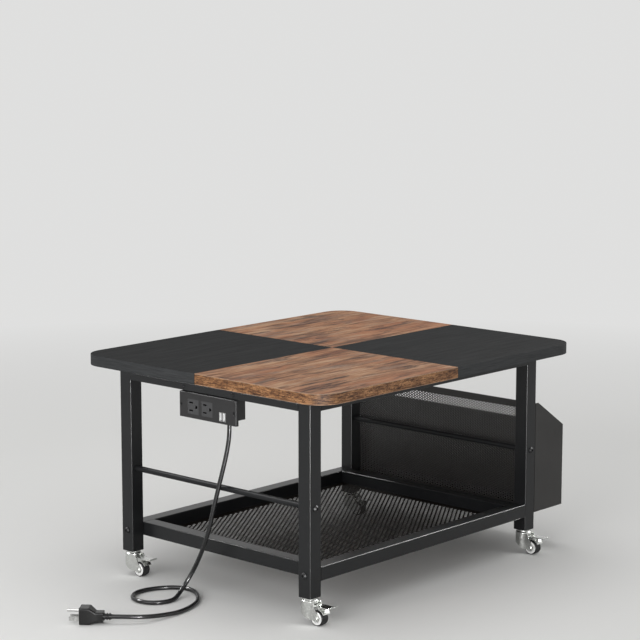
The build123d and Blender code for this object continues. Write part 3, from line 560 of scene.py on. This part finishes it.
# ------------------------------------------------------------------ settings
class StandSizes(bpy.types.PropertyGroup):
    """Sizes of the pieces that the script makes or rounds"""

    cord_diameter: bpy.props.FloatProperty(
        name="Cord diameter", description="Thickness of the power cord",
        default=0.0070, min=0.004, max=0.012, subtype="DISTANCE", unit="LENGTH")
    corner_radius: bpy.props.FloatProperty(
        name="Corner radius", description="Rounded outer corners of the top",
        default=0.042, min=0.0, max=0.1, subtype="DISTANCE", unit="LENGTH")
    tube_corner: bpy.props.FloatProperty(
        name="Tube corner", description="Rounded long corners of the frame's tubes",
        default=0.0012, min=0.0002, max=0.004, subtype="DISTANCE", unit="LENGTH")
    board_edge: bpy.props.FloatProperty(
        name="Board edge", description="Rounding along the edges of the boards",
        default=0.0007, min=0.0001, max=0.003, subtype="DISTANCE", unit="LENGTH")
    mesh_long: bpy.props.FloatProperty(
        name="Mesh length", description="Length of a diamond of the tray mesh",
        default=0.0125, min=0.006, max=0.06, subtype="DISTANCE", unit="LENGTH")
    mesh_short: bpy.props.FloatProperty(
        name="Mesh width", description="Width of a diamond of the tray mesh",
        default=0.0085, min=0.004, max=0.03, subtype="DISTANCE", unit="LENGTH")
    mesh_strand: bpy.props.FloatProperty(
        name="Mesh strand", description="Width of the strands of the tray mesh",
        default=0.0024, min=0.0008, max=0.005, subtype="DISTANCE", unit="LENGTH")
    mesh_lift: bpy.props.FloatProperty(
        name="Mesh lift", description="Rise of each strand across its width",
        default=0.0004, min=0.0, max=0.002, subtype="DISTANCE", unit="LENGTH")
    mesh_border: bpy.props.FloatProperty(
        name="Mesh border", description="Plain edge of the tray mesh",
        default=0.010, min=0.002, max=0.03, subtype="DISTANCE", unit="LENGTH")
    hole_pitch: bpy.props.FloatProperty(
        name="Hole pitch", description="Distance between the holes of the pocket",
        default=0.0044, min=0.003, max=0.02, subtype="DISTANCE", unit="LENGTH")
    hole_diameter: bpy.props.FloatProperty(
        name="Hole diameter", description="Holes of the pocket",
        default=0.0027, min=0.001, max=0.015, subtype="DISTANCE", unit="LENGTH")
    hole_border: bpy.props.FloatProperty(
        name="Hole border", description="Plain edge round the holes of the pocket",
        default=0.012, min=0.002, max=0.05, subtype="DISTANCE", unit="LENGTH")
    moulded_edge: bpy.props.FloatProperty(
        name="Moulded edge", description="Rounded edges of the plug and the power strip",
        default=0.0007, min=0.0001, max=0.002, subtype="DISTANCE", unit="LENGTH")
    pressed_edge: bpy.props.FloatProperty(
        name="Pressed edge", description="Rounded edges of the casters' steel",
        default=0.0004, min=0.0001, max=0.001, subtype="DISTANCE", unit="LENGTH")
    sheet_gauge: bpy.props.FloatProperty(
        name="Sheet gauge", description="Thickness of the pocket's sheet",
        default=0.001, min=0.0005, max=0.003, subtype="DISTANCE", unit="LENGTH")
    pocket_hem: bpy.props.FloatProperty(
        name="Pocket hem", description="Height of the folded top edges of the pocket",
        default=0.009, min=0.0, max=0.03, subtype="DISTANCE", unit="LENGTH")


class StandColours(bpy.types.PropertyGroup):
    """Colours of the large pieces, before their clouding and wear"""

    steel: bpy.props.FloatVectorProperty(
        name="Steel", description="Powder coat of the frame", size=4,
        default=(0.0105, 0.011, 0.012, 1.0), min=0.0, max=1.0, subtype="COLOR")
    mesh: bpy.props.FloatVectorProperty(
        name="Mesh", description="Powder coat of the tray mesh", size=4,
        default=(0.010, 0.008, 0.0065, 1.0), min=0.0, max=1.0, subtype="COLOR")
    pocket: bpy.props.FloatVectorProperty(
        name="Pocket", description="Powder coat of the file pocket", size=4,
        default=(0.028, 0.0268, 0.0258, 1.0), min=0.0, max=1.0, subtype="COLOR")
    dark_board: bpy.props.FloatVectorProperty(
        name="Dark board", description="Face of the dark boards", size=4,
        default=(0.012, 0.0125, 0.013, 1.0), min=0.0, max=1.0, subtype="COLOR")


# ------------------------------------------------------------------ power cord
# Middle line of the cord, from the strain relief under the strip to the plug.
CORD_ROUTE = [
    (-0.30935, -0.0577, 0.2855), (-0.30935, -0.0577, 0.268), (-0.31175, -0.0543, 0.241),
    (-0.31655, -0.0493, 0.211), (-0.32175, -0.0431, 0.178), (-0.32635, -0.0365, 0.144),
    (-0.32935, -0.0291, 0.109), (-0.33135, -0.0151, 0.074), (-0.32955, 0.004, 0.043),
    (-0.33985, 0.0121, 0.021), (-0.35745, 0.0103, 0.0068), (-0.37795, 0.0005, 0.0036),
    (-0.40015, 0.0033, 0.0036), (-0.41635, 0.0181, 0.0036), (-0.42135, 0.0395, 0.0036),
    (-0.41295, 0.0617, 0.0036), (-0.39035, 0.0759, 0.0036), (-0.36095, 0.0719, 0.0036),
    (-0.33335, 0.0556, 0.0036), (-0.31905, 0.0314, 0.0036), (-0.32455, 0.0038, 0.0036),
    (-0.34815, -0.0251, 0.0036), (-0.37445, -0.0426, 0.0036), (-0.41335, -0.0535, 0.0036),
    (-0.44935, -0.0525, 0.0062), (-0.48135, -0.0485, 0.0098),
    (-0.507537, -0.02726, 0.0115), (-0.51985, -0.0115, 0.0115),
]
CORD_SMOOTHNESS = 12     # steps between two points of the route
CORD_ROUNDNESS = 6       # how finely its round section is divided


class STAND_OT_cord(bpy.types.Operator):
    """Runs the power cord from the strip over the floor to the plug"""

    bl_idname = "stand.cord"
    bl_label = "Power cord"

    def execute(self, context):
        sizes = context.scene.stand_sizes
        line = bpy.data.curves.new("power_cord_line", "CURVE")
        line.dimensions = "3D"
        spline = line.splines.new("NURBS")
        spline.points.add(len(CORD_ROUTE) - 1)
        for point, place in zip(spline.points, CORD_ROUTE):
            point.co = (*place, 1.0)
        spline.order_u = 3
        spline.use_endpoint_u = True
        spline.resolution_u = CORD_SMOOTHNESS
        line.resolution_u = CORD_SMOOTHNESS
        line.bevel_depth = sizes.cord_diameter / 2
        line.bevel_resolution = CORD_ROUNDNESS
        line.use_fill_caps = True
        cord = bpy.data.objects.new("power_cord_sheath", line)
        context.scene.collection.objects.link(cord)
        sheath = moulded_plastic("cord_sheath", SHEATH_BLACK, roughness=0.24)
        finished(cord, [sheath], "stand", "cord_black", "power_cord")
        return {"FINISHED"}


# ------------------------------------------------------------------ steel frame
# How the names of the square tubes begin.
TUBES = ("leg_front", "leg_rear", "top_rail", "cross_rail", "tray_rail")


class STAND_OT_steel(bpy.types.Operator):
    """Coats the legs, rails, bars and fasteners"""

    bl_idname = "stand.steel"
    bl_label = "Steel frame"

    def execute(self, context):
        radius = context.scene.stand_sizes.tube_corner
        steel = context.scene.stand_colours.steel
        coat = powder_coat("frame_coat", steel)
        for name in NODES:
            if name.startswith(TUBES):
                rolled_tube(name, radius, coat)
        paint(coat, "strip_hangers")
        dull = powder_coat("bar_coat", steel, roughness=0.5, shine=0.16)
        paint(dull, "side_bar_left", "side_bar_right")
        dark = powder_coat("dark_fasteners", FASTENER_BLACK, roughness=0.45)
        paint(dark, "side_bar_bolts", "tray_bolts", "machine_screws", "face_screws")
        paint(plated_metal("zinc", SCREW_ZINC), "board_screws")
        paint(moulded_plastic("leg_plug_black", LEG_PLUG_BLACK, roughness=0.5), "leg_plugs")
        return {"FINISHED"}


# ------------------------------------------------------------------ power strip and plug
class STAND_OT_strip(bpy.types.Operator):
    """Finishes the power strip with its outlets and ports"""

    bl_idname = "stand.strip"
    bl_label = "Power strip"

    def execute(self, context):
        edge = context.scene.stand_sizes.moulded_edge
        insert_edge = edge * 1.3
        face = moulded_plastic("strip_face_black", STRIP_FACE_BLACK, roughness=0.5, shine=0.25)
        dressed("strip_face", edge, face, "stand", "strip_black")
        tub = moulded_plastic("strip_tub_black", STRIP_TUB_BLACK, roughness=0.45, shine=0.35)
        dressed("strip_housing", edge, tub, "stand", "strip_black")
        insert = socket_plastic("outlet_grey", OUTLET_GREY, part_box("outlet_inserts")[0].x)
        dressed("outlet_inserts", insert_edge, insert, "stand", "outlet_grey")
        paint(port_metal("usb_steel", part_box("usb_ports")[0].x), "usb_ports")
        paint(plated_metal("contact_brass", CONTACT_BRASS), "contact_strips")
        return {"FINISHED"}


class STAND_OT_plug(bpy.types.Operator):
    """Finishes the moulded plug and the cord's strain relief"""

    bl_idname = "stand.plug"
    bl_label = "Plug"

    def execute(self, context):
        edge = context.scene.stand_sizes.moulded_edge
        glossy = moulded_plastic("plug_black", PLUG_BLACK, roughness=0.24, shine=0.32)
        dressed("plug_body", edge, glossy, "stand", "cord_black", segments=3)
        paint(glossy, "cord_bush")
        paint(plated_metal("prong_nickel", PRONG_NICKEL, roughness=0.2), "plug_prongs")
        return {"FINISHED"}


# ------------------------------------------------------------------ tabletop
DARK_CORNERS = ("front_right", "rear_left")
BAND_PAINTED_LIGHT = 3.4          # how much lighter the edge band of a dark board is painted than its face: painted light for the light its sides catch
LEVEL = 0.9              # a face whose normal rises less than this belongs to the edge band
CORNER_STEPS = 16        # faces round an outer corner


class STAND_OT_boards(bpy.types.Operator):
    """Cuts the four boards with their rounded outer corners and edge bands"""

    bl_idname = "stand.boards"
    bl_label = "Boards"

    def execute(self, context):
        sizes = context.scene.stand_sizes
        colours = context.scene.stand_colours
        # The band takes the face's colour made lighter: painted light, standing in for the
        # light that falls on the board's sides.
        face, band = shades(colours.dark_board, 1.0, BAND_PAINTED_LIGHT)
        dark = (dark_laminate("dark_face", face, grain=(5, 130, 130), shine=0.06),
                dark_laminate("dark_band_painted_light", band, grain=(9, 9, 210), shine=0.1))
        brown = (rustic_laminate("brown_face"), rustic_band("brown_band"))
        for name in CORNERS:
            node = f"board_{name}"
            low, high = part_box(node)
            corner = Vector((low.x if "left" in name else high.x,
                             low.y if "front" in name else high.y, 0))
            panel = block(f"{node}_panel", low, high)
            edit(panel)
            pick(panel, lambda at, run: (at.xy - corner.xy).length < TOUCHING, "EDGE")
            bpy.ops.mesh.bevel(offset=sizes.corner_radius, segments=CORNER_STEPS,
                               affect="EDGES")
            done()
            soften(panel, sizes.board_edge)
            is_dark = name in DARK_CORNERS
            materials = dark if is_dark else brown
            slot = "board_black" if is_dark else "board_brown"
            finished(panel, materials, "stand", slot, node)
            edit(panel)
            pick(panel, lambda at, normal: abs(normal.z) < LEVEL)
            panel.active_material_index = 1       # the band, second of the board's finishes
            bpy.ops.object.material_slot_assign()
            done()
        return {"FINISHED"}


# ------------------------------------------------------------------ tray mesh
OUTER_CORNER = 0.49      # a diamond's own corners lie 0.5 of its length or width out


class STAND_OT_tray_mesh(bpy.types.Operator):
    """Stretches the expanded metal of the tray inside its plain border"""

    bl_idname = "stand.tray_mesh"
    bl_label = "Tray mesh"

    def execute(self, context):
        sizes = context.scene.stand_sizes
        long, short, strand = sizes.mesh_long, sizes.mesh_short, sizes.mesh_strand
        low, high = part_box("tray_mesh")
        middle = (low.z + high.z) / 2
        start = Vector((low.x - long / 4, low.y - short / 4, middle))

        def inner_tip(at, side):
            """Whether a corner is the inner one at this end of the first diamond."""
            away = at - start
            is_outer = abs(away.x) / long + abs(away.y) / short > OUTER_CORNER
            return not is_outer and side * away.y > TOUCHING

        bpy.ops.object.select_all(action="DESELECT")
        bpy.ops.mesh.primitive_circle_add(vertices=4, radius=0.5, fill_type="NGON",
                                          location=start)
        net = started("tray_mesh_net", (long, short, 1))
        edit(net)
        bpy.ops.mesh.select_all(action="SELECT")
        bpy.ops.mesh.inset(thickness=strand / 2)
        bpy.ops.mesh.delete(type="FACE")
        for side in (1, -1):
            pick(net, lambda at: inner_tip(at, side), "VERT")
            bpy.ops.transform.translate(value=(0, 0, side * sizes.mesh_lift))
        bpy.ops.mesh.select_all(action="SELECT")
        bpy.ops.mesh.duplicate_move(
            TRANSFORM_OT_translate={"value": (long / 2, short / 2, 0)})
        done()
        repeat(net, (long, 0, 0), math.ceil((high.x - low.x) / long) + 1)
        repeat(net, (0, short, 0), math.ceil((high.y - low.y) / short) + 1)
        modify(net, "WELD", merge_threshold=CELL_JOINT)
        inside = Vector((sizes.mesh_border, sizes.mesh_border, 0))
        crop(net, low + inside, high - inside, (0, 1))
        rim = border("tray_mesh_rim", (low.x, low.y, middle), (high.x, high.y, middle),
                     sizes.mesh_border)
        net = joined("tray_mesh_net", net, rim)
        modify(net, "SOLIDIFY", thickness=high.z - low.z, offset=0)
        colour = context.scene.stand_colours.mesh
        coat = powder_coat("mesh_coat", colour, roughness=0.6, shine=0.12)
        finished(net, [coat], "stand", "mesh_black", "tray_mesh")
        return {"FINISHED"}


# ------------------------------------------------------------------ file pocket
PUNCHED_PAINTED_LIGHT = 1.3       # how much lighter the punched side is painted than the plain ones: painted light, for more light falling on it


def perforated(name, low, high, sizes):
    """An upright sheet, square to X, with round holes inside a plain border."""
    pitch = sizes.hole_pitch
    reach = pitch / math.sqrt(3)       # from the middle of a six-sided cell to its corners
    middle = (low.x + high.x) / 2
    bpy.ops.object.select_all(action="DESELECT")
    bpy.ops.mesh.primitive_circle_add(vertices=6, radius=reach, fill_type="NGON",
                                      location=(middle, low.y, low.z),
                                      rotation=(0, math.pi / 2, 0))
    sheet = started(name)
    edit(sheet)
    bpy.ops.mesh.select_all(action="SELECT")
    bpy.ops.mesh.inset(thickness=(pitch - sizes.hole_diameter) / 2)
    bpy.ops.mesh.delete(type="FACE")
    bpy.ops.mesh.select_all(action="SELECT")
    bpy.ops.mesh.duplicate_move(
        TRANSFORM_OT_translate={"value": (0, 1.5 * reach, pitch / 2)})
    done()
    repeat(sheet, (0, 3 * reach, 0), math.ceil((high.y - low.y) / reach / 3) + 1)
    repeat(sheet, (0, 0, pitch), math.ceil((high.z - low.z) / pitch) + 1)
    modify(sheet, "WELD", merge_threshold=CELL_JOINT)
    inside = Vector((0, sizes.hole_border, sizes.hole_border))
    crop(sheet, low + inside, high - inside, (1, 2))
    rim = border(name + "_rim", (middle, low.y, low.z), (middle, high.y, high.z),
                 sizes.hole_border)
    sheet = joined(name, sheet, rim)
    modify(sheet, "SOLIDIFY", thickness=high.x - low.x, offset=0)
    return sheet


class STAND_OT_pocket(bpy.types.Operator):
    """Punches the inner side of the file pocket and folds its top edge"""

    bl_idname = "stand.pocket"
    bl_label = "File pocket"

    def execute(self, context):
        sizes = context.scene.stand_sizes
        gauge, hem = sizes.sheet_gauge, sizes.pocket_hem
        charcoal = context.scene.stand_colours.pocket
        coat = powder_coat("pocket_coat", charcoal)
        low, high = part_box("pocket_inner_side")
        inner = perforated("pocket_inner_sheet", low, Vector((low.x + gauge, high.y, high.z)),
                           sizes)
        fold = block("inner_fold", (low.x + gauge, low.y, high.z - hem), high)
        inner = joined("pocket_inner_sheet", inner, fold)
        # The punched side takes the pocket's coat made lighter: painted light, standing in for
        # the light that reaches the inner side.
        punched = powder_coat("punched_coat_painted_light", shades(charcoal, PUNCHED_PAINTED_LIGHT)[0])
        finished(inner, [punched], "stand", "pocket_charcoal", "pocket_inner_side")
        paint(coat, "pocket_outer_side", "pocket_ends")
        return {"FINISHED"}


# ------------------------------------------------------------------ casters
class STAND_OT_casters(bpy.types.Operator):
    """Rounds and finishes the forks, brake pedals and wheels"""

    bl_idname = "stand.casters"
    bl_label = "Casters"

    def execute(self, context):
        edge = context.scene.stand_sizes.pressed_edge
        zinc = plated_metal("caster_zinc", CASTER_ZINC, roughness=0.2)
        white = moulded_plastic("wheel_white", WHEEL_WHITE, roughness=0.35)
        rubber = moulded_plastic("tyre_black", TYRE_BLACK, roughness=0.5, shine=0.3)
        paint(zinc, "caster_stems")
        for name in CORNERS:
            dressed(f"fork_{name}", edge, zinc, f"caster_{name}", "caster_zinc")
            dressed(f"brake_pedal_{name}", edge, zinc, f"brake_{name}", "caster_zinc")
            dressed(f"wheel_hub_{name}", edge, white, f"wheel_{name}", "wheel_white")
            dressed(f"tyre_{name}", edge, rubber, f"wheel_{name}", "tyre_black")
            paint(zinc, f"axle_{name}")
        return {"FINISHED"}


# ------------------------------------------------------------------ stage
BACKDROP = (0.74, 0.74, 0.735, 1)
FLOOR = (0.8, 0.8, 0.79, 1)
WHITE, WARM = (1, 1, 1), (1.0, 0.97, 0.94)
FLOOR_SIZE = 80
FADE_FROM, FADE_TO = 1.1, 2.6    # between these radii the floor turns into the backdrop
SKY_LIGHT = 0.75                 # the world's strength as light; it is 1 where it is seen
# Name, place, aim, width and height, power in watts and colour.
LAMPS = (
    ("window", (-2.6, -0.5, 0.9), (0, 0, 0.2), (2.0, 1.2), 34, WHITE),
    ("fill", (1.6, -2.6, 1.6), (0, 0, 0.2), (1.6, 1.6), 4, WARM),
    ("overhead", (0.3, 0.6, 2.8), (0, 0, 0.3), (2.0, 2.0), 18, WHITE),
)
# Narrow lamps that only draw highlights along edges.
CORNER_LAMP = ("corner_light", (-1.15, -1.30, 0.13), (0, 0, 0.13), (0.22, 0.24), 55, WHITE)
EDGE_LAMPS = (
    ("left_rail_light", (-0.75, 1.9, 2.1), (0, 0, 0.1), (0.9, 0.15), 70, WHITE),
    ("front_rail_light", (1.9, -0.6, 1.9), (0, -0.2, 0.1), (0.15, 0.9), 110, WHITE),
)
CAMERA_PLACE = (-2.52465, -2.2709, 0.9521)
CAMERA_YAW = math.radians(47.625)        # right of straight ahead
CAMERA_PITCH = math.radians(9.109)       # downwards
CAMERA_LENS, CAMERA_SENSOR = 114.65, 36.0


def facing(ahead):
    """The turn of a lamp or camera that looks along a direction, upright."""
    return Vector(ahead).to_track_quat("-Z", "Y").to_euler()


def area_lamp(name, place, aim, size, power, colour):
    """A rectangular lamp that the camera doesn't see."""
    data = bpy.data.lights.new(name, "AREA")
    data.shape = "RECTANGLE"
    data.size, data.size_y = size
    data.energy = power
    data.color = colour
    lamp = bpy.data.objects.new(name, data)
    bpy.context.scene.collection.objects.link(lamp)
    lamp.location = place
    lamp.rotation_euler = facing(Vector(aim) - Vector(place))
    lamp.visible_camera = False
    return lamp


def edge_lamp(*settings):
    """A narrow lamp that only draws highlights along edges."""
    lamp = area_lamp(*settings)
    lamp.visible_diffuse = False
    return lamp


def keep_off(lamp, pieces):
    """Keeps a lamp's highlights off these pieces."""
    spared = bpy.data.collections.new(f"{lamp.name}_spares")
    for piece in pieces:
        spared.objects.link(piece)
    lamp.light_linking.receiver_collection = spared
    for held in spared.collection_objects:
        held.light_linking.link_state = "EXCLUDE"


def seen_directly(f):
    """One for rays from the camera and for mirrored or refracted ones."""
    camera, glossy, through = [f.node("ShaderNodeLightPath", output=name) for name in
                               ("Is Camera Ray", "Is Glossy Ray", "Is Transmission Ray")]
    return camera.higher(glossy).higher(through)


def lay_floor():
    """A pale floor that keeps the stand's shadow and turns into the backdrop farther off."""
    bpy.ops.object.select_all(action="DESELECT")
    bpy.ops.mesh.primitive_plane_add(size=FLOOR_SIZE, location=(0, 0, 0))
    floor = bpy.context.object
    floor.name = "stage_floor"
    f = Finish("stage_floor")
    reach = f.node("ShaderNodeVectorMath", {"operation": "LENGTH"}, [f.place()], "Value")
    laid = f.node("ShaderNodeBsdfDiffuse", None, {"Color": FLOOR})
    far = f.node("ShaderNodeEmission", None, {"Color": BACKDROP})
    share = f.scale(reach, FADE_FROM, FADE_TO) * seen_directly(f)
    look = f.node("ShaderNodeMixShader", None, [share, laid, far])
    f.node("ShaderNodeOutputMaterial", None, {"Surface": look})
    floor.data.materials.append(f.owner)


def raise_sky(scene):
    """A plain pale world, a little weaker as a light than it looks."""
    scene.world = bpy.data.worlds.new("studio")
    f = Finish("studio", scene.world)
    strength = seen_directly(f) * (1 - SKY_LIGHT) + SKY_LIGHT
    sky = f.node("ShaderNodeBackground", None, {"Color": BACKDROP, "Strength": strength})
    f.node("ShaderNodeOutputWorld", None, {"Surface": sky})


def set_camera(scene):
    """The camera at the stand's front left, a little above its top."""
    camera = bpy.data.objects.new("camera", bpy.data.cameras.new("camera"))
    scene.collection.objects.link(camera)
    camera.location = CAMERA_PLACE
    camera.rotation_euler = facing((math.sin(CAMERA_YAW) * math.cos(CAMERA_PITCH),
                                    math.cos(CAMERA_YAW) * math.cos(CAMERA_PITCH),
                                    -math.sin(CAMERA_PITCH)))
    camera.data.sensor_width = CAMERA_SENSOR
    camera.data.lens = CAMERA_LENS
    camera.data.clip_start = 0.1
    camera.data.clip_end = 100.0
    scene.camera = camera


class STAND_OT_stage(bpy.types.Operator):
    """Lays the floor, hangs the lamps and sets the camera"""

    bl_idname = "stand.stage"
    bl_label = "Stage"

    def execute(self, context):
        scene = context.scene
        lay_floor()
        raise_sky(scene)
        for settings in LAMPS:
            area_lamp(*settings)
        # From behind, the tops of the tray's rails would mirror this low lamp.
        corner_lamp = edge_lamp(*CORNER_LAMP)
        keep_off(corner_lamp, [bpy.data.objects[f"{name}_shell"] for name in NODES
                               if name.startswith("tray_rail")])
        for settings in EDGE_LAMPS:
            edge_lamp(*settings)
        set_camera(scene)
        scene.view_settings.view_transform = "Standard"
        return {"FINISHED"}


# ------------------------------------------------------------------ sidebar and registration
class STAND_PT_sidebar(bpy.types.Panel):
    """The sizes and colours of the stand, and a button for each piece"""

    bl_idname = "STAND_PT_sidebar"
    bl_label = "Printer stand"
    bl_space_type = "VIEW_3D"
    bl_region_type = "UI"
    bl_category = "Stand"

    def draw(self, context):
        for group in (context.scene.stand_sizes, context.scene.stand_colours):
            for key in group.bl_rna.properties.keys():
                if key not in ("name", "rna_type"):
                    self.layout.prop(group, key)
        for step in STEPS:
            self.layout.operator(step.bl_idname)


STEPS = [STAND_OT_steel, STAND_OT_boards, STAND_OT_tray_mesh, STAND_OT_pocket,
         STAND_OT_strip, STAND_OT_plug, STAND_OT_cord, STAND_OT_casters, STAND_OT_stage]
CLASSES = [StandSizes, StandColours, *STEPS, STAND_PT_sidebar]


def register():
    """Makes the panel, its settings and the operators known to Blender."""
    for cls in CLASSES:
        bpy.utils.register_class(cls)
    bpy.types.Scene.stand_sizes = bpy.props.PointerProperty(type=StandSizes)
    bpy.types.Scene.stand_colours = bpy.props.PointerProperty(type=StandColours)


def unregister():
    """Takes them away again."""
    del bpy.types.Scene.stand_colours
    del bpy.types.Scene.stand_sizes
    for cls in reversed(CLASSES):
        bpy.utils.unregister_class(cls)


def main():
    """Builds every piece in order."""
    register()
    for step in STEPS:
        group, action = step.bl_idname.split(".")
        getattr(getattr(bpy.ops, group), action)()


if __name__ == "__main__":
    main()
